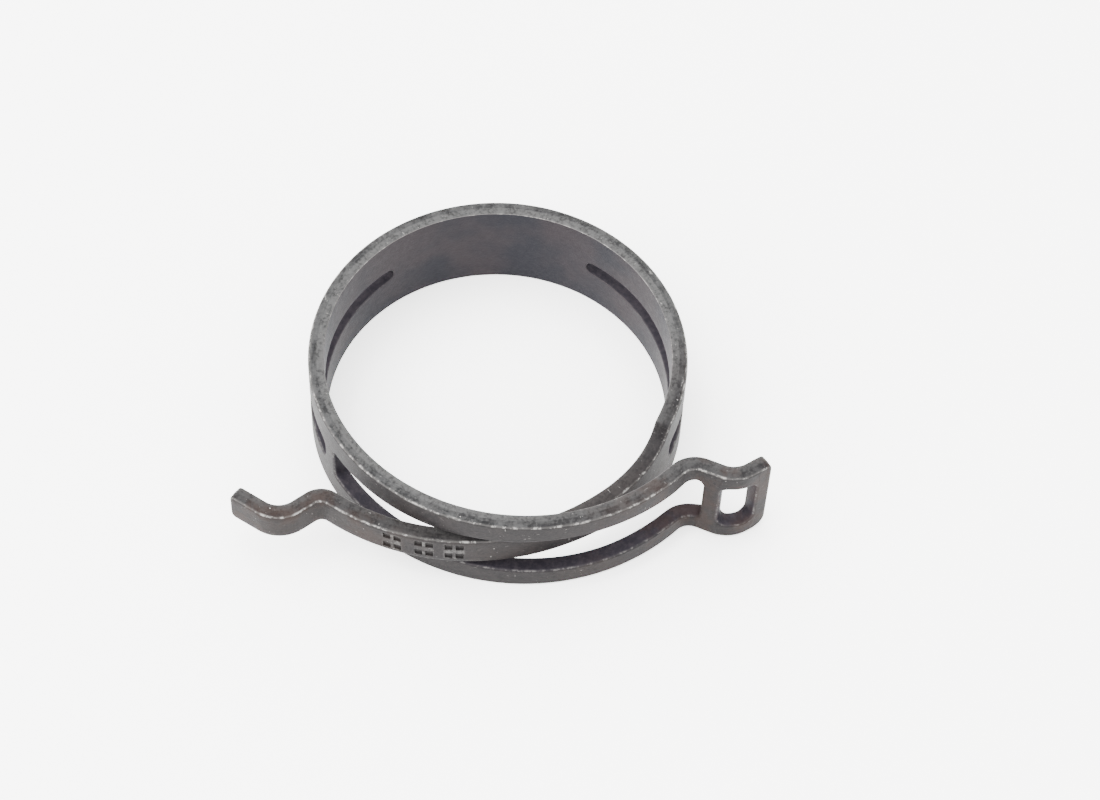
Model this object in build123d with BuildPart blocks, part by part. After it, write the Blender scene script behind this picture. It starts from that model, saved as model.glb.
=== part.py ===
from build123d import *
import os
from math import atan2, cos, degrees, radians, sin

# A constant-tension hose clamp: one strip of spring steel, blanked flat, rolled into a ring and hardened.
# One end of the strip is a fork, two legs round a window, and the other is a narrow tongue that passes
# through that window.  Both end in a wavy ear that pliers push together, and then the ring opens.
#
# Frame: millimetres, +Z along the bore, the strip's lower edge on z = 0, the back of the ring at +Y.

# Driving dimensions
bore_radius = 24.0          # inside of the ring, free
thickness = 2.2             # strip
band_width = 15.0           # strip, along the bore
joint_gap = 0.15            # between two lengths of strip that turn against each other

neutral_radius = bore_radius + thickness / 2
mid_height = band_width / 2


def bend(radius, turn):
    """A run of strip bent to a mid-line radius: its length, and its turn in degrees, negative outwards."""
    return radius * radians(abs(turn)), turn


def straight(length):
    return length, 0


# The runs of each arm, from the back of the ring to the tip of its ear.  Side is the way it goes round:
# +1 by the left (-X) side and -1 by the right.
fork_side, tongue_side = 1, -1
fork_runs = [
    bend(neutral_radius, 119.5),    # ring
    bend(29.4, 102),                # legs, standing further out so that the tongue fits inside
    bend(3.4, -68),                 # crest of the ear
    straight(2.3),
    bend(4.25, 55),                 # hollow that the pliers hold
    straight(3.0),                  # tip
]
tongue_runs = [
    bend(neutral_radius, 148),
    bend(32.0, 70.5),
    bend(2.45, -72.5),
    straight(2.2),
    bend(4.15, 70.5),
    straight(4.6),
]
fork = (fork_side, fork_runs)
tongue = (tongue_side, tongue_runs)
fork_end = sum(length for length, turn in fork_runs)
tongue_end = sum(length for length, turn in tongue_runs)

# Distances along the strip from the back of the ring
hinges = [6.0, 17.5, 29.0, 40.0, 50.3, 61.5]    # where the strip's bending is gathered
slot_start = 15.5
fork_slot_end, tongue_slot_end = 49.0, 51.6
window_start, window_end = 51.7, 109.0
hole_start, hole_end = 111.5, 115.8
shoulder = 52.8
blade_end = 102.5           # where the tongue turns out into its ear

# Half heights of the openings, and of the tongue, at distances along the strip
slot_radius = 1.05          # round starting end of both slots
slot_stations = [(slot_start + slot_radius, slot_radius), (28, 1.45), (40, 1.8)]
fork_slot = slot_stations + [(fork_slot_end, 2.0)]
tongue_slot = slot_stations + [(tongue_slot_end, 2.0)]
window = [
    (window_start, 3.0), (64, 3.15), (78, 3.6), (92, 4.05), (104, 4.05), (107, 4.6), (window_end, 4.6),
]
hole = [(hole_start, 4.6), (hole_end, 4.6)]
tongue_outline = [
    (hinges[4], mid_height + 1), (shoulder, mid_height + 1), (shoulder + 0.2, 6.6), (54.2, 5.2),
    (56.5, 4.2), (60, 3.6), (66, 3.1), (72, 2.75), (88, 2.6), (100, 2.5), (tongue_end + 1, 2.5),
]
opening_corner = 1.2
ear_corner_top, ear_corner_bottom = 1.0, 2.2
tongue_corner = 0.8


def part_runs(runs, start, stop):
    """The runs between two distances along an arm."""
    found, passed = [], 0
    for length, turn in runs:
        low, high = max(start, passed), min(stop, passed + length)
        if high - low > 1e-6:
            found.append((high - low, turn * (high - low) / length))
        passed += length
    return found


def station(arm, distance):
    """The mid-line point at a distance along an arm, and the strip's heading there in degrees."""
    side, runs = arm
    x, y, heading = 0.0, neutral_radius, 90 + 90 * side
    for length, turn in part_runs(runs, 0, distance):
        chord = length if turn == 0 else 2 * length / radians(turn) * sin(radians(turn / 2))
        along = radians(heading + side * turn / 2)
        x, y, heading = x + chord * cos(along), y + chord * sin(along), heading + side * turn
    return x, y, heading


def offset_point(arm, distance, outwards):
    side = arm[0]
    x, y, heading = station(arm, distance)
    return x + side * outwards * sin(radians(heading)), y - side * outwards * cos(radians(heading))


def strip_plan(arm, start, stop, half_thickness=thickness / 2):
    """The plan of a length of strip: its inner and outer edges, each a chain of tangent arcs."""
    side, runs = arm
    heading = station(arm, start)[2]
    edges = (-half_thickness, half_thickness)
    with BuildSketch() as plan:
        with BuildLine():
            for outwards in edges:
                point = offset_point(arm, start, outwards)
                tangent = (cos(radians(heading)), sin(radians(heading)))
                for length, turn in part_runs(runs, start, stop):
                    if turn == 0:
                        edge = Line(point, Vector(*point) + Vector(*tangent) * length)
                    else:
                        radius = abs(length / radians(turn)) + (outwards if turn > 0 else -outwards)
                        edge = JernArc(start=point, tangent=tangent, radius=radius, arc_size=side * turn)
                    point, tangent = tuple(edge @ 1)[:2], tuple(edge % 1)[:2]
            for distance in (start, stop):
                Line(offset_point(arm, distance, edges[0]), offset_point(arm, distance, edges[1]))
        make_face()
    return plan.sketch


def taper_slab(arm, start, stop, half_start, half_stop):
    """A slab that follows the strip, thicker than it, with its top and bottom sloping from one half height
    to the other."""
    x0, y0, _ = station(arm, start)
    x1, y1, _ = station(arm, stop)
    run = Vector(x1 - x0, y1 - y0, 0)
    middle = Vector((x0 + x1) / 2, (y0 + y1) / 2, mid_height)
    half, slope = (half_start + half_stop) / 2, (half_stop - half_start) / run.length
    along = run.normalized()
    with BuildPart() as slab:
        with BuildSketch(Plane.XY.offset(-1)):
            add(strip_plan(arm, start, stop, thickness / 2 + 1))
        extrude(amount=band_width + 2)
        split(bisect_by=Plane(middle + Vector(0, 0, half), z_dir=Vector(0, 0, 1) - along * slope), keep=Keep.BOTTOM)
        split(bisect_by=Plane(middle - Vector(0, 0, half), z_dir=Vector(0, 0, 1) + along * slope), keep=Keep.TOP)
    return slab.part


def across_edges(shape, length):
    """The straight edges that go through the strip from face to face."""
    return shape.edges().filter_by(GeomType.LINE).filter_by(lambda edge: abs(edge.length - length) < 0.01)


def punch(arm, outline, start_corner=0, end_corner=0):
    """One tool in the shape of an opening, or of the tongue: a slab between each two of its stations."""
    slabs = [taper_slab(arm, a, b, half_a, half_b) for (a, half_a), (b, half_b) in zip(outline, outline[1:])]
    if start_corner:
        slabs[0] = round_corners(slabs[0], arm, outline[0][0], start_corner)
    if end_corner:
        slabs[-1] = round_corners(slabs[-1], arm, outline[-1][0], end_corner)
    with BuildPart() as tool:
        for slab in slabs:
            add(slab)
    return tool.part


def round_corners(solid, arm, distance, radius, width=thickness + 2):
    """Rounds the corners of a solid's end at a distance along the strip."""
    at = Vector(*station(arm, distance)[:2], mid_height)
    with BuildPart() as rounded:
        add(solid)
        ends = across_edges(rounded.part, width).sort_by(lambda edge: (edge.center() - at).length)
        fillet(ends[:2], radius)
    return rounded.part


def round_end(arm, distance, radius):
    """A pin through the strip, for the round end of a slot."""
    x, y, heading = station(arm, distance)
    across = Plane(origin=(x, y, mid_height), z_dir=(sin(radians(heading)), -cos(radians(heading)), 0))
    with BuildPart(across) as pin:
        Cylinder(radius, thickness + 2)
    return pin.part


def strip_length(arm, start, stop, tools=(), outline=None):
    """A full-width length of strip, with its openings cut out and, on the tongue, its edges cut back."""
    with BuildPart() as length:
        with BuildSketch():
            add(strip_plan(arm, start, stop))
        extrude(amount=band_width)
        for tool in tools:
            add(tool, mode=Mode.SUBTRACT)
        if outline is not None:
            add(outline, mode=Mode.INTERSECT)
    return length.part


def save(solid, label):
    solid.label = label
    export_step(solid, f"parts/{label}.step")


def save_pair(lengths, upper, lower):
    """Writes the two rails, or legs, that an opening leaves."""
    low, high = lengths.solids().sort_by(Axis.Z)
    save(Part(high.wrapped), upper)
    save(Part(low.wrapped), lower)


os.makedirs("parts", exist_ok=True)
half_gap = joint_gap / 2
fork_tools = [
    round_end(fork, slot_stations[0][0], slot_radius),
    punch(fork, fork_slot, end_corner=slot_radius),
    punch(fork, window, start_corner=opening_corner, end_corner=opening_corner),
]
tongue_tools = [
    round_end(tongue, slot_stations[0][0], slot_radius),
    punch(tongue, tongue_slot, end_corner=slot_radius),
]

# Back of the ring: both arms start here
with BuildPart() as band_back:
    with BuildSketch():
        add(strip_plan(fork, 0, hinges[0] - half_gap))
        add(strip_plan(tongue, 0, hinges[0] - half_gap))
    extrude(amount=band_width)
save(band_back.part, "band_back")

# The sides.  The slots start in the first lengths and leave an upper and a lower rail in the others.
save(strip_length(fork, hinges[0] + half_gap, hinges[1] - half_gap, fork_tools), "band_left_1")
save(strip_length(tongue, hinges[0] + half_gap, hinges[1] - half_gap, tongue_tools), "band_right_1")
for number in (2, 3, 4):
    start, stop = hinges[number - 1] + half_gap, hinges[number] - half_gap
    save_pair(
        strip_length(tongue, start, stop, tongue_tools),
        f"right_upper_rail_{number}",
        f"right_lower_rail_{number}",
    )
    left = strip_length(fork, start, stop, fork_tools)
    if number < 4:
        save_pair(left, f"left_upper_rail_{number}", f"left_lower_rail_{number}")
    else:
        save(left, "band_left_4")   # the left slot ends in this length

# The fork: a narrow web between slot and window, two legs, and the ear with its square hole
save(strip_length(fork, hinges[4] + half_gap, window_start), "fork_web")
save_pair(
    strip_length(fork, window_start, hinges[5] - half_gap, fork_tools),
    "upper_leg_root",
    "lower_leg_root",
)
save_pair(strip_length(fork, hinges[5] + half_gap, window_end, fork_tools), "upper_leg", "lower_leg")
with BuildPart() as fork_ear:
    add(strip_length(fork, window_end, fork_end))
    tip = Vector(*station(fork, fork_end)[:2], mid_height)
    corners = across_edges(fork_ear.part, thickness).sort_by(lambda edge: (edge.center() - tip).length)[:2]
    fillet(corners.sort_by(Axis.Z)[0], ear_corner_bottom)
    fillet(across_edges(fork_ear.part, thickness).sort_by(Axis.Z)[-1], ear_corner_top)
    add(punch(fork, hole, opening_corner, opening_corner), mode=Mode.SUBTRACT)
save(fork_ear.part, "fork_ear")

# The tongue: the full width steps in at a shoulder, then a narrow blade and its ear
outline = punch(tongue, tongue_outline)
save(
    strip_length(tongue, hinges[4] + half_gap, hinges[5] - half_gap, tongue_tools, outline),
    "tongue_shoulder",
)
save(strip_length(tongue, hinges[5] + half_gap, blade_end, outline=outline), "tongue_blade")
tongue_ear = strip_length(tongue, blade_end, tongue_end, outline=outline)
save(round_corners(tongue_ear, tongue, tongue_end, tongue_corner, thickness), "tongue_ear")
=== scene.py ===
from math import cos, radians, sin, sqrt

import bmesh
import bpy
from mathutils import Matrix, Vector, noise
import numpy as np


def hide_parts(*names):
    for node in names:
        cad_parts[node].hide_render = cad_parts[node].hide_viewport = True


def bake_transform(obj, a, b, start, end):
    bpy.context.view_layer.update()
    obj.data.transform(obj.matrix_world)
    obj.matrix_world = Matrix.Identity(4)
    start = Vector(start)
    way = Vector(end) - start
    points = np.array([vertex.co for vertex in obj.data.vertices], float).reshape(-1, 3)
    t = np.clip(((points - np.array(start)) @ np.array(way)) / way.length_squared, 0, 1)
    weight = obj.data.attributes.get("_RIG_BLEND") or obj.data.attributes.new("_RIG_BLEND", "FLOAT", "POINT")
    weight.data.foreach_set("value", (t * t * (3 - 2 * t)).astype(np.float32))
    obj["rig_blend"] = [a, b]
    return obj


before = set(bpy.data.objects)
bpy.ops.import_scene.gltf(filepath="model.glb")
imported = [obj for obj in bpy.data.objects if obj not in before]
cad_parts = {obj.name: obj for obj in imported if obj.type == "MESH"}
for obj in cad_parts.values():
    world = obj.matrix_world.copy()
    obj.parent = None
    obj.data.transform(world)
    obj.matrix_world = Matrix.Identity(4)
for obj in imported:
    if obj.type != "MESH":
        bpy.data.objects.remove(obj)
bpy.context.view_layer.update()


# ---- Ring ------------------------------------------------------------------------------------------------
# The clamp is one strip of spring steel, 15 mm by 2.2 mm, blanked flat with its openings, rolled round a
# mandrel from the middle out, hardened and dipped in a dark coating.  Each arm goes from the back of the
# ring round one side.  The strip bends all along, so every piece here is a length that spans one bend.
THICKNESS = 0.0022
BAND_WIDTH = 0.015
MID_HEIGHT = BAND_WIDTH / 2
RING_MIDLINE = 0.024 + THICKNESS / 2

ROLLOVER = 0.00042          # the rounding that the punch draws in at the outer face
BURR_BREAK = 0.00013        # the inner edge is nearly sharp
FRACTURE_AT = -0.00005      # below this depth the steel broke instead of being cut, and falls back
FRACTURE_FALL = 0.00008
EDGE_RIPPLE = 0.00002       # the cut edge isn't quite straight
REACH = 0.001               # how far past an opening's end the surface gives way to its rounding
EVEN_AGAIN = 0.004          # how far past an opening's end the two inner lines are evenly spaced again
LEAST_HALF_HEIGHT = 0.00022     # where those lines meet the round end of an opening

WIDEST_COLUMN = 0.0006
WIDEST_TURN = 3.5           # degrees between two columns
SPARE_COLUMN = 0.00015      # an evenly spaced column this close to a fixed one is left out
NARROWEST_COLUMN = 0.000024
CORNER_ANGLES = (0, 18, 33, 48, 62, 76, 90)


def bend(radius, turn):
    """A run of strip bent to a mid-line radius: its length, and its turn in degrees, negative outwards."""
    return radius * radians(abs(turn)), turn


def straight(length):
    return length, 0


def station(arm, distance):
    """Mid-line point and heading, in radians, at a distance along an arm."""
    side, runs = arm["side"], arm["runs"]
    point, heading = Vector((0, RING_MIDLINE)), radians(90 + 90 * side)
    for length, turn in runs:
        share = min(max(distance, 0), length)
        swing = radians(turn) * share / length
        chord = share if turn == 0 or share == 0 else 2 * share / swing * sin(swing / 2)
        middle = heading + side * swing / 2
        point = point + chord * Vector((cos(middle), sin(middle)))
        heading += side * swing
        distance -= length
        if distance <= 0:
            break
    return point, heading


def on_curve(stations, distance):
    """A smooth curve through stations of (distance, value)."""
    if distance <= stations[0][0]:
        return stations[0][1]
    if distance >= stations[-1][0]:
        return stations[-1][1]
    for k, ((x0, y0), (x1, y1)) in enumerate(zip(stations, stations[1:])):
        if distance <= x1:
            xa, ya = stations[max(k - 1, 0)]
            xb, yb = stations[min(k + 2, len(stations) - 1)]
            slope0, slope1 = (y1 - ya) / (x1 - xa), (yb - y0) / (xb - x0)
            t, span = (distance - x0) / (x1 - x0), x1 - x0
            return (
                y0 * (1 + 2 * t) * (1 - t) ** 2 + y1 * t * t * (3 - 2 * t)
                + span * (slope0 * t * (1 - t) ** 2 - slope1 * t * t * (1 - t))
            )


def edge_profile():
    """The cut edge from the inner face to the outer: depth, setback, how sheared it is, and how much bare
    wear and painted highlight its corners get.
    """
    half = THICKNESS / 2
    profile = []
    for angle, sheared, wear_and_sheen in ((0, 0, 0), (45, 0.6, 1), (90, 1, 0.5)):
        depth = -half + BURR_BREAK * (1 - cos(radians(angle)))
        profile.append((depth, FRACTURE_FALL + BURR_BREAK * (1 - sin(radians(angle))), sheared, wear_and_sheen))
    profile.append((FRACTURE_AT, 0, 1, 0))
    for angle, sheared, wear_and_sheen in ((0, 1, 0.1), (22.5, 0.9, 0.7), (45, 0.6, 1), (67.5, 0.2, 0.7), (90, 0, 0)):
        depth = half - ROLLOVER * (1 - sin(radians(angle)))
        profile.append((depth, ROLLOVER * (1 - cos(radians(angle))), sheared, wear_and_sheen))
    return profile


def corner_loss(distance, end, radius, way, setback):
    """How much a rounded corner takes off an edge near an end, for an outline that is set back.  The
    corner's centre stays where it is, and way is the side of the end that it lies on."""
    beyond = (end + way * radius - distance) * way
    radius -= setback
    if beyond <= 0:
        return 0
    return radius - sqrt(max(radius ** 2 - beyond ** 2, 0))


def end_shift(distance, end, inside, outside, way):
    """How far along the strip a point near an end goes for each unit of setback."""
    into = (distance - end) * way
    fade = 1 - (into / inside if into >= 0 else -into / outside)
    return way * max(fade, 0)


def flat_point(arm, distance, row, setback):
    """Where the line numbered row is at a distance along the strip: bottom edge, inner lines, top edge."""
    last = len(arm["lines"]) + 1
    end, (top_corner, bottom_corner) = arm["end"], arm["tip_corners"]
    if row in (0, last):
        radius = bottom_corner if row == 0 else top_corner
        at = distance + setback * end_shift(distance, end, radius, radius, -1)
        height = min(on_curve(arm["outline"], at), MID_HEIGHT) if "outline" in arm else MID_HEIGHT
        height -= setback + corner_loss(at, end, radius, -1, setback)
        return at, MID_HEIGHT + (height if row else -height)
    at = distance + setback * end_shift(distance, end, 1.2 * REACH, REACH, -1)
    for stations, first_radius, last_radius in arm["openings"]:
        at -= setback * end_shift(distance, stations[0][0], first_radius, REACH, 1)
        at -= setback * end_shift(distance, stations[-1][0], last_radius, REACH, -1)
    line = arm["lines"][row - 1]
    if len(arm["lines"]) > 2:
        return at, MID_HEIGHT + line * on_curve(arm["lines_draw_in"], distance)

    gaps = [
        max(stations[0][0] - distance, distance - stations[-1][0], 0)
        for stations, first_radius, last_radius in arm["openings"]
    ]
    gap = min(gaps)
    stations, first_radius, last_radius = arm["openings"][gaps.index(gap)]
    low, high = stations[0][0], stations[-1][0]
    edge = min(max(at, low - setback), high + setback)
    height = on_curve(stations, edge) + setback
    height -= corner_loss(edge, low, first_radius, 1, -setback)
    height -= corner_loss(edge, high, last_radius, -1, -setback)
    height = max(height, LEAST_HALF_HEIGHT)
    fade = min(gap / EVEN_AGAIN, 1)
    return at, MID_HEIGHT + (height if line > 0 else -height) * (1 - fade) + line * fade


def columns(arm, start, stop):
    """Distances of the crosswise lines: closer in the tight bends and round the corners."""
    even = {start, stop}
    passed = 0
    for length, turn in arm["runs"]:
        low, high = max(passed, start), min(passed + length, stop)
        if high > low:
            count = max((high - low) / WIDEST_COLUMN, abs(turn) * (high - low) / length / WIDEST_TURN)
            count = int(count) + 1
            even.update(low + (high - low) * k / count for k in range(count + 1))
        passed += length

    corners = [(arm["end"], radius, -1) for radius in arm["tip_corners"]]
    for stations, first_radius, last_radius in arm["openings"]:
        corners += [(stations[0][0], first_radius, 1), (stations[-1][0], last_radius, -1)]
    fixed = set(arm.get("marks", ()))
    for end, radius, way in corners:
        fixed.update(end + way * radius * (1 - cos(radians(angle))) for angle in CORNER_ANGLES)
    fixed = [d for d in fixed if start + 2e-5 < d < stop - 2e-5]

    kept = [d for d in even if all(abs(d - f) > SPARE_COLUMN for f in fixed) or d in (start, stop)]
    along = []
    for distance in sorted(kept + fixed):
        if not along or distance - along[-1] > NARROWEST_COLUMN:
            along.append(distance)
    along[-1] = stop
    return along


def face_outwards(bm):
    bm.normal_update()
    bmesh.ops.recalc_face_normals(bm, faces=bm.faces[:])
    bm.normal_update()


def flat_length(arm, start, stop):
    """A flat length of the blank as a bmesh: x along the strip, y out through it and z up.  It is grown
    layer by layer from the inner face, each layer's outline following the profile of the cut edge."""
    along = columns(arm, start, stop)
    across, rows = len(along) - 1, len(arm["lines"]) + 1
    bm = bmesh.new()
    # the last layer marks where painted shade darkens the colour: the floors of the pressed squares
    sheared_layer, punched_layer, wear_and_sheen_layer, painted_shade_layer = (
        bm.verts.layers.float.new(name) for name in ("sheared", "punched", "wear_and_sheen", "painted_shade")
    )
    bmesh.ops.create_grid(bm, x_segments=across, y_segments=rows, size=1)
    place = {}      # each point's distance along the strip, and its row
    for vert in bm.verts:
        place[vert] = (along[round((vert.co.x + 1) / 2 * across)], round((vert.co.y + 1) / 2 * rows))

    openings = []
    for face in bm.faces:
        distance = sum(place[vert][0] for vert in face.verts) / 4
        in_middle = sum(place[vert][1] for vert in face.verts) / 4 == rows / 2
        if in_middle and any(s[0][0] < distance < s[-1][0] for s, *corners in arm["openings"]):
            openings.append(face)
    bmesh.ops.delete(bm, geom=openings, context="FACES")

    top = bm.faces[:]
    for number, (depth, setback, sheared, wear_and_sheen) in enumerate(edge_profile()):
        if number:
            below = top
            grown = bmesh.ops.extrude_face_region(bm, geom=below)["geom"]
            top = [part for part in grown if isinstance(part, bmesh.types.BMFace)]
            if number > 1:      # the first layer stays as the inner face
                bmesh.ops.delete(bm, geom=below, context="FACES")
            place = {vert: place_of[tuple(vert.co)] for face in top for vert in face.verts}
        place_of = {}
        for vert, (distance, row) in place.items():
            outer = row in (0, rows)
            way = 1 if row > rows / 2 else -1
            seed = Vector((distance * 420, 3 * way + 9 * outer, depth * 300 + 5 * arm["side"]))
            at, height = flat_point(arm, distance, row, setback + EDGE_RIPPLE * (1 + noise.noise(seed)))
            vert.co = (at, depth, height)
            vert[sheared_layer] = sheared * on_curve(arm["rubbed"], distance) if outer else 0
            vert[punched_layer] = 0 if outer else sheared
            # wear and painted highlight along the rounded corners of the edge
            vert[wear_and_sheen_layer] = wear_and_sheen * (1 if outer else 0.7)
            place_of[tuple(vert.co)] = (distance, row)
    face_outwards(bm)
    return bm


def roll(bm, arm):
    """Rolls the flat blank round, after noting on every point where it lay."""
    flat = bm.verts.layers.float_vector.new("flat")
    side = arm["side"]
    for vert in bm.verts:
        distance, out, height = vert.co
        vert[flat] = (side * distance, out, height)
        (x, y), heading = station(arm, distance)
        vert.co = (x + side * out * sin(heading), y - side * out * cos(heading), height)
    face_outwards(bm)


def settle_order(bm):
    """Numbers the points, edges and faces by where they are, so that every run gives the same mesh."""
    for parts, place in (
        (bm.verts, lambda vert: tuple(vert.co)),
        (bm.edges, lambda edge: sorted(vert.index for vert in edge.verts)),
        (bm.faces, lambda face: tuple(face.calc_center_median())),
    ):
        for number, part in enumerate(sorted(parts, key=place)):
            part.index = number
        parts.sort()


def make_piece(name, bm, arm, bodies, bend_span, nodes, material):
    """Rolls a flat length and hangs it on the frame.  It bends from one body to the next within a span."""
    roll(bm, arm)
    for face in bm.faces:
        face.smooth = True
    for edge in bm.edges:
        if edge.is_manifold and edge.calc_face_angle() > radians(60):
            edge.smooth = False
    settle_order(bm)
    mesh = bpy.data.meshes.new(name)
    bm.to_mesh(mesh)
    bm.free()
    mesh.materials.append(material)
    piece = bpy.data.objects.new(name, mesh)
    bpy.context.scene.collection.objects.link(piece)
    even = piece.modifiers.new("even_shading", "WEIGHTED_NORMAL")
    even.keep_sharp = True
    start, end = (Vector((*station(arm, distance)[0], MID_HEIGHT)) for distance in bend_span)
    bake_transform(piece, *bodies, start=start, end=end)
    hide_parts(*nodes)


def coated_steel(name):
    """Dark dipped coating on hardened steel: mottled, thin on the cut edges, rubbed bright on corners with a
    painted highlight along them, and painted shade in the pressed marks.
    Its patterns lie on the flat blank, so they run on from piece to piece."""
    material = bpy.data.materials.new(name)
    material.use_nodes = True
    tree = material.node_tree
    tree.nodes.clear()

    def node(kind, inputs, **settings):
        made = tree.nodes.new(kind)
        for key, value in settings.items():
            setattr(made, key, value)
        for socket, value in inputs.items():
            if isinstance(value, bpy.types.NodeSocket):
                tree.links.new(value, made.inputs[socket])
            else:
                made.inputs[socket].default_value = value
        return made

    def kept(name):
        return node("ShaderNodeAttribute", {}, attribute_name=name).outputs["Fac"]

    def grain(per_mm, detail=4, roughness=0.6, stretch=(1, 1, 1), shift=0):
        """A cloudy pattern, in features per millimetre.  Its x runs along the strip."""
        offset = (shift, shift * 0.7, shift * 1.3)
        at = node("ShaderNodeMapping", {"Vector": on_blank, "Scale": stretch, "Location": offset})
        inputs = {"Vector": at.outputs["Vector"], "Scale": per_mm, "Detail": detail, "Roughness": roughness}
        return node("ShaderNodeTexNoise", inputs).outputs["Fac"]

    def between(value, low, high):
        inputs = {"Value": value, "From Min": low, "From Max": high}
        return node("ShaderNodeMapRange", inputs, interpolation_type="SMOOTHSTEP").outputs["Result"]

    def joined(operation, *values):
        return node("ShaderNodeMath", dict(enumerate(values)), operation=operation).outputs[0]

    def tint(factor, colour_a, colour_b):
        """Colour a, turning to colour b by the factor."""
        sides = {"Factor": factor}
        for socket, colour in ((6, colour_a), (7, colour_b)):
            sides[socket] = (*colour, 1) if isinstance(colour, tuple) else colour
        return node("ShaderNodeMix", sides, data_type="RGBA").outputs[2]

    lay = node("ShaderNodeAttribute", {}, attribute_name="flat").outputs["Vector"]
    on_blank = node("ShaderNodeMapping", {"Vector": lay, "Scale": (1000, 1000, 1000)}).outputs["Vector"]
    axes = node("ShaderNodeSeparateXYZ", {"Vector": on_blank})
    along, depth = axes.outputs["X"], axes.outputs["Y"]
    inside = between(depth, -0.95, -1.08)
    broken = between(depth, 0.05, -0.15)

    mottle = grain(1.25, 7, 0.7)
    blotch = grain(0.55, 6, 0.7, shift=50)
    patches = grain(0.10, 3, 0.5, shift=20)
    streaks = grain(1.0, 4, 0.65, stretch=(0.22, 2.2, 2.2), shift=70)
    pits = between(grain(2.2, 5, 0.7, shift=15), 0.55, 0.40)
    flecks = between(grain(3.0, 4, 0.7, shift=25), 0.55, 0.68)

    # The rolled faces, the edges that were cut, and the walls of the openings
    face = tint(between(mottle, 0.36, 0.66), (0.0066, 0.0057, 0.0062), (0.0132, 0.0115, 0.0117))
    face = tint(joined("MULTIPLY", between(patches, 0.44, 0.64), 0.5), face, (0.0146, 0.0113, 0.0103))
    wall = tint(between(patches, 0.36, 0.62), (0.0092, 0.0091, 0.0124), (0.0166, 0.0134, 0.0156))
    cut = tint(between(blotch, 0.36, 0.64), (0.0090, 0.0091, 0.0097), (0.0350, 0.0350, 0.0353))
    cut = tint(joined("MULTIPLY", between(streaks, 0.42, 0.62), 0.5), cut, (0.0370, 0.0366, 0.0360))
    cut = tint(joined("MULTIPLY", broken, 0.55), cut, (0.0540, 0.0536, 0.0530))
    cut = tint(joined("MULTIPLY", flecks, 0.55), cut, (0.0560, 0.0550, 0.0535))
    punched = tint(between(mottle, 0.38, 0.66), (0.0104, 0.0092, 0.0122), (0.0180, 0.0154, 0.0186))
    colour = tint(kept("sheared"), face, cut)
    pitted = joined("MULTIPLY", pits, joined("MULTIPLY_ADD", between(blotch, 0.60, 0.42), 0.45, 0.20))
    colour = tint(pitted, colour, (0.0050, 0.0047, 0.0050))
    colour = tint(inside, colour, wall)
    colour = tint(kept("punched"), colour, punched)

    # Rust brown creeping over the ears, and painted shade darkening the floors of the pressed marks
    on_ears = between(joined("ABSOLUTE", along), 84, 106)
    ears = joined("MULTIPLY", on_ears, between(grain(0.25, 4, 0.6, shift=33), 0.43, 0.62))
    colour = tint(joined("MULTIPLY", ears, 0.42), colour, (0.0205, 0.0110, 0.0080))
    # painted shade: the floors of the pressed squares are darkened
    colour = tint(joined("MULTIPLY", kept("painted_shade"), 0.45), colour, (0.004, 0.0037, 0.0035))

    # Bare steel with painted highlight: a thin broken line along the corners, part wear and part painted
    # highlight on their rounding, specks, and a few scratches
    wear_and_sheen = joined("POWER", kept("wear_and_sheen"), 3.6)
    patchy = joined("MULTIPLY_ADD", between(grain(0.75, 6, 0.75, shift=8), 0.49, 0.60), 0.86, 0.14)
    # an unbroken line along the inner edge, part wear and part painted highlight
    inner_edge_wear_and_sheen = joined("MULTIPLY", between(depth, -0.8, -1.0), 0.42)
    wear_and_sheen = joined("MULTIPLY", wear_and_sheen, joined("MAXIMUM", patchy, inner_edge_wear_and_sheen))
    specks = between(grain(2.4, 3, 0.6, shift=40), 0.69, 0.74)
    specks = joined("MULTIPLY", specks, between(grain(0.3, 2, 0.5, shift=60), 0.46, 0.62))
    scratches = between(grain(1.0, 3, 0.5, stretch=(0.5, 1, 7), shift=90), 0.70, 0.76)
    scuffs = between(grain(1.0, 3, 0.5, stretch=(3.2, 1, 0.6), shift=120), 0.71, 0.77)
    marks = joined("MAXIMUM", specks, joined("MULTIPLY", joined("MAXIMUM", scratches, scuffs), 0.45))
    marks = joined("MULTIPLY", marks, joined("SUBTRACT", 1.0, joined("MAXIMUM", inside, kept("punched"))))
    bare_and_sheen = joined("MAXIMUM", wear_and_sheen, marks)
    colour = tint(bare_and_sheen, colour, (0.25, 0.242, 0.232))

    fine = joined("MULTIPLY", grain(3.2, 5, 0.65, shift=5), 0.6)
    relief = joined("ADD", fine, joined("MULTIPLY", mottle, 0.7))
    bump = node("ShaderNodeBump", {"Height": relief, "Strength": 0.35, "Distance": 0.00012})
    shader = node("ShaderNodeBsdfPrincipled", {
        "Base Color": colour,
        "Metallic": joined("MULTIPLY_ADD", bare_and_sheen, 0.55, 0.18),
        "Roughness": joined("MULTIPLY_ADD", mottle, 0.24, 0.42),
        "Specular IOR Level": 0.06,
        "Normal": bump.outputs["Normal"],
    })
    node("ShaderNodeOutputMaterial", {"Surface": shader.outputs["BSDF"]})
    return material


steel = coated_steel("coated_spring_steel")

# The left arm carries the fork and the right arm the tongue.  An opening is its half heights at distances
# along the strip, then the corner radii of its two ends.  Lines are the heights of the two inner lines of
# points away from the openings, and rubbed is how far the coating has gone from the cut edges.
mm = 0.001
slot_start = (15.5 * mm, 1.05 * mm)
slot_middle = [(22 * mm, 1.25 * mm), (30 * mm, 1.5 * mm), (40 * mm, 1.8 * mm)]
fork_slot = ([slot_start, *slot_middle, (49.0 * mm, 2.0 * mm)], 1.04 * mm, 1.1 * mm)
tongue_slot = ([slot_start, *slot_middle, (51.6 * mm, 2.0 * mm)], 1.04 * mm, 1.1 * mm)

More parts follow.
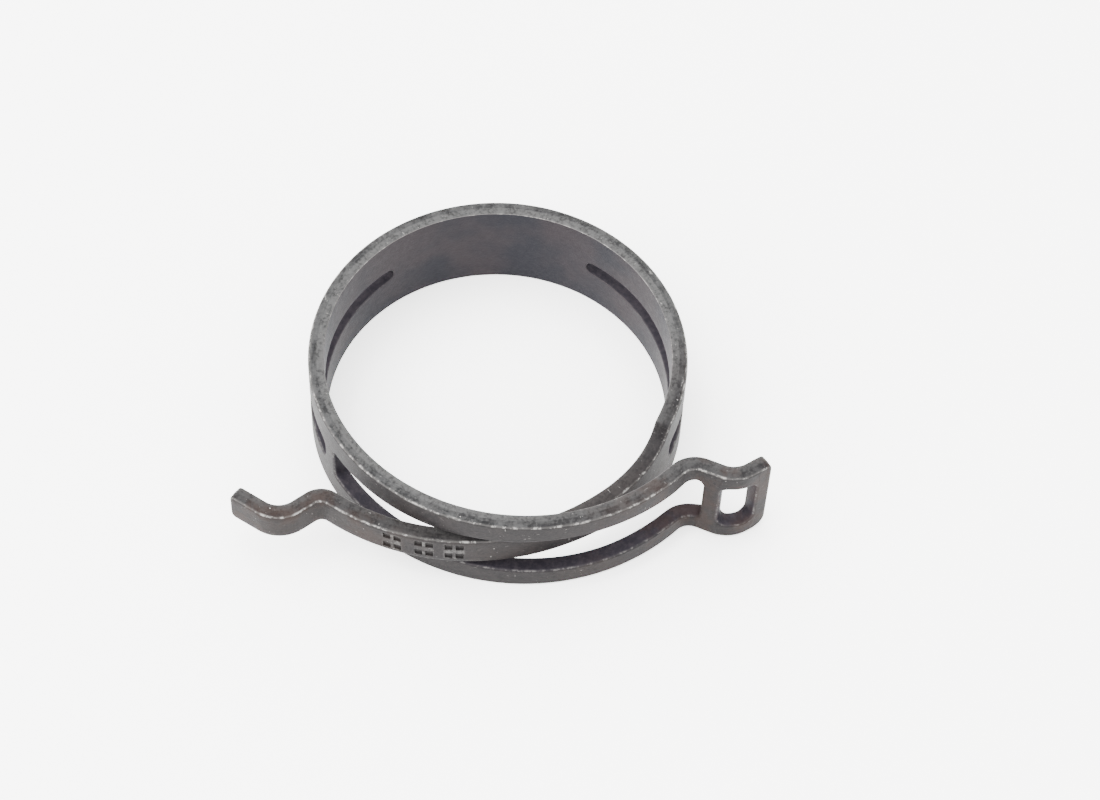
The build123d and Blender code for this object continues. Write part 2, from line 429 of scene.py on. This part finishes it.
fork = {
    "side": 1,
    "runs": [
        bend(RING_MIDLINE, 119.5), bend(0.0294, 102), bend(0.0034, -68),
        straight(0.0023), bend(0.00425, 55), straight(0.0030),
    ],
    "openings": [fork_slot],
    "lines": (-0.002, 0.002),
    "tip_corners": (0.0010, 0.0022),
    "rubbed": [(0, 1), (0.074, 1), (0.090, 0.6), (0.105, 0.5)],
}
tongue = {
    "side": -1,
    "runs": [
        bend(RING_MIDLINE, 148), bend(0.032, 70.5), bend(0.00245, -72.5),
        straight(0.0022), bend(0.00415, 70.5), straight(0.0046),
    ],
    "openings": [tongue_slot],
    "lines": (-0.0009, 0.0009),
    "tip_corners": (0.0009, 0.0009),
    "rubbed": [(0, 1), (0.034, 1), (0.045, 0.5), (0.0522, 0.4), (0.0530, 0.1), (0.065, 0.2), (0.085, 0.45)],
}
for arm in (fork, tongue):
    arm["end"] = sum(length for length, turn in arm["runs"])

# Each piece spans one bend: from the middle of one stiff length to the middle of the next
cuts = [0, 11.75 * mm, 23.25 * mm, 34.5 * mm, 45.15 * mm, 55.9 * mm]
ring_nodes = {
    "left": [["band_back", "band_left_1"], ["left_upper_rail_2", "left_lower_rail_2"],
             ["left_upper_rail_3", "left_lower_rail_3"], ["band_left_4"]],
    "right": [["band_right_1"], ["right_upper_rail_2", "right_lower_rail_2"],
              ["right_upper_rail_3", "right_lower_rail_3"], ["right_upper_rail_4", "right_lower_rail_4"]],
}
for name, arm in (("left", fork), ("right", tongue)):
    for number in (1, 2, 3, 4):
        span = (cuts[number - 1], cuts[number])
        bodies = ("band_back" if number == 1 else f"{name}_{number - 1}", f"{name}_{number}")
        nodes = ring_nodes[name][number - 1]
        make_piece(f"{name}_band_{number}", flat_length(arm, *span), arm, bodies, span, nodes, steel)


# ---- Fork ------------------------------------------------------------------------------------------------
# The left arm's end: a narrow web, two legs round the window, and a wavy ear with a square hole that one
# jaw of the pliers holds.  It is blanked in the same strip, and the legs are rolled to a wider curve than
# the ring, so that the tongue runs inside them.
window = ([(d * mm, h * mm) for d, h in (
    (51.7, 3.0), (64, 3.15), (78, 3.6), (92, 4.05), (103.5, 4.05), (106.5, 4.55), (109.0, 4.6),
)], 0.7 * mm, 1.2 * mm)
ear_hole = ([(111.5 * mm, 4.6 * mm), (115.8 * mm, 4.6 * mm)], 1.2 * mm, 1.2 * mm)
fork["openings"] += [window, ear_hole]

root_span = (cuts[4], cuts[5])
last_bend = (cuts[5], 67.1 * mm)    # the ears and the legs beyond it stay stiff
bm = flat_length(fork, *root_span)
make_piece("fork_root", bm, fork, ("left_4", "left_5"), root_span,
           ["fork_web", "upper_leg_root", "lower_leg_root"], steel)
bm = flat_length(fork, cuts[5], fork["end"])
make_piece("fork_legs_and_ear", bm, fork, ("left_5", "left_6"), last_bend,
           ["upper_leg", "lower_leg", "fork_ear"], steel)


# ---- Tongue ----------------------------------------------------------------------------------------------
# The right arm's end: the strip steps in at a shoulder and runs on as a narrow blade through the fork's
# window to its own wavy ear.  Its outer face has three groups of four small pressed squares.
tongue["outline"] = [(d * mm, h * mm) for d, h in (
    (0, 7.5), (50, 7.5), (51.9, 7.5), (52.5, 7.3), (52.8, 6.9), (53.2, 6.3), (54.2, 5.25), (56.5, 4.15),
    (60, 3.55), (66, 3.1), (72, 2.75), (88, 2.6), (100, 2.5), (125, 2.5),
)]
tongue["marks"] = [(52 + 0.15 * k) * mm for k in range(16)]     # closer columns round the shoulder
bm = flat_length(tongue, *root_span)
make_piece("tongue_shoulder_length", bm, tongue, ("right_4", "right_5"), root_span,
           ["tongue_shoulder"], steel)

PRESSED_DEPTH = 0.00022
PRESSED_DRAFT = Vector((0.82, 1, 0.82))     # a square's floor is smaller than its rim
PAD_LENGTH, PAD_PITCH = 1.05, 1.45          # in millimetres along the strip
# how much bare wear and painted highlight the rims of the pressed squares get
RIM_WEAR_AND_SHEEN = 0.62
pad_edges = [k * mm for k in (-1.7, -0.45, 0.45, 1.7)]
pads = [
    (first * mm, (first + PAD_LENGTH) * mm, line)
    for group in (85.0, 89.0, 93.3) for first in (group, group + PAD_PITCH) for line in (1, 3)
]
tongue["lines"] = pad_edges
tongue["lines_draw_in"] = [(0.097, 1), (0.104, 0.72)]
tongue["marks"] = [end for first, last, line in pads for end in (first, last)]
bm = flat_length(tongue, cuts[5], tongue["end"])
painted_shade, wear_and_sheen = bm.verts.layers.float["painted_shade"], bm.verts.layers.float["wear_and_sheen"]
for first, last, line in pads:
    low, high = MID_HEIGHT + pad_edges[line - 1], MID_HEIGHT + pad_edges[line]
    pressed = []
    for face in bm.faces:
        middle = face.calc_center_median()
        if face.normal.y > 0.9 and first < middle.x < last and low < middle.z < high:
            pressed.append(face)
    grown = bmesh.ops.extrude_face_region(bm, geom=pressed)["geom"]
    bmesh.ops.delete(bm, geom=pressed, context="FACES")
    floor_points = {part for part in grown if isinstance(part, bmesh.types.BMVert)}
    rim_points = {vert for point in floor_points for edge in point.link_edges for vert in edge.verts}
    for vert in rim_points - floor_points:
        vert[wear_and_sheen] = RIM_WEAR_AND_SHEEN
    centre = Vector(((first + last) / 2, 0, (low + high) / 2))
    for vert in floor_points:
        vert.co = centre + (vert.co - centre) * PRESSED_DRAFT - Vector((0, PRESSED_DEPTH, 0))
        # painted shade on each pressed square's floor
        vert[painted_shade] = 1
face_outwards(bm)
make_piece("tongue_blade_and_ear", bm, tongue, ("right_5", "right_6"), last_bend,
           ["tongue_blade", "tongue_ear"], steel)


# ---- Setting ---------------------------------------------------------------------------------------------
# The clamp lies on a pale matt table in a bright room, under a wide soft lamp overhead and a weaker one to
# the left.  Neither the table nor the lamps are part of it.
bm = bmesh.new()
bmesh.ops.create_grid(bm, x_segments=2, y_segments=2, size=1.2)
mesh = bpy.data.meshes.new("table_top")
bm.to_mesh(mesh)
bm.free()
table_top = bpy.data.objects.new("table_top", mesh)
bpy.context.scene.collection.objects.link(table_top)
paper = bpy.data.materials.new("white_table")
paper.use_nodes = True
surface = paper.node_tree.nodes["Principled BSDF"].inputs
surface["Base Color"].default_value = (0.95, 0.95, 0.945, 1)
surface["Roughness"].default_value = 0.8
surface["Emission Color"].default_value = (1, 0.995, 0.985, 1)
surface["Emission Strength"].default_value = 1.3
mesh.materials.append(paper)

room = bpy.data.worlds.new("bright_room")
room.use_nodes = True
room.node_tree.nodes["Background"].inputs["Color"].default_value = (1, 1, 1, 1)
room.node_tree.nodes["Background"].inputs["Strength"].default_value = 4.3
bpy.context.scene.world = room

for name, size, power, place in (
    ("overhead", 0.9, 22, (-0.25, 0.15, 0.9)),
    ("window_left", 0.7, 14, (-0.8, -0.3, 0.7)),
):
    light = bpy.data.lights.new(name, "AREA")
    light.size, light.energy = size, power
    lamp = bpy.data.objects.new(name, light)
    lamp.location = place
    lamp.rotation_euler = (-Vector(place)).to_track_quat("-Z", "Y").to_euler()
    bpy.context.scene.collection.objects.link(lamp)

lens = bpy.data.cameras.new("camera")
lens.lens = 98.2
lens.sensor_width = 36
camera = bpy.data.objects.new("camera", lens)
bpy.context.scene.collection.objects.link(camera)
stand = Vector((-0.0169, -0.2323, 0.3571))
aim = Vector((0.00769, 0.0018, 0))
tilt = radians(2.84)
look = (aim - stand).to_track_quat("-Z", "Y").to_matrix().to_4x4()
camera.matrix_world = Matrix.Translation(stand) @ look @ Matrix.Rotation(tilt, 4, "Z")
bpy.context.scene.camera = camera
